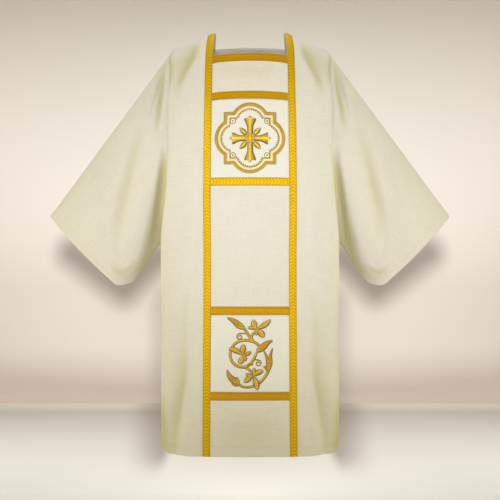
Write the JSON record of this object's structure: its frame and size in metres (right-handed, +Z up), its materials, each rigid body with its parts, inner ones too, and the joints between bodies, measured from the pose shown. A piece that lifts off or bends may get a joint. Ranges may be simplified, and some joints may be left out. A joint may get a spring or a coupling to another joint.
{
  "type": "dalmatic vestment",
  "caption": "Knee-length ivory dalmatic in its worn, hollow form: square neck, wide open sleeves, long gold galloons, crossbands and two decorated panels.",
  "frame": {"origin": "middle of the neck opening at the height of the shoulder line, where the wearer's shoulders carry the garment", "axes": "+Z up, the front faces -Y, +X to the right of someone who looks at the front"},
  "size_m": [1.2078, 0.305, 1.2583],
  "materials": {
    "ivory_cloth": "plain linen-like weave, soft matt sheen",
    "off_white_cloth": "smoother off-white weave",
    "gold_braid": "woven metallic gold braid",
    "gold_embroidery": "dense satin stitch in antique gold"
  },
  "bodies": {
    "root": {"front": "ivory_cloth", "back": "ivory_cloth", "sleeve_left": "ivory_cloth", "sleeve_right": "ivory_cloth", "galloon_left": "gold_braid", "galloon_right": "gold_braid", "crossband_neck": "gold_braid", "crossband_chest": "gold_braid", "crossband_waist": "gold_braid", "crossband_knee": "gold_braid", "crossband_shin": "gold_braid", "back_neck_band": "gold_braid", "panel_upper": "off_white_cloth", "panel_lower": "off_white_cloth", "medallion": "gold_embroidery"}
  },
  "joints": []
}
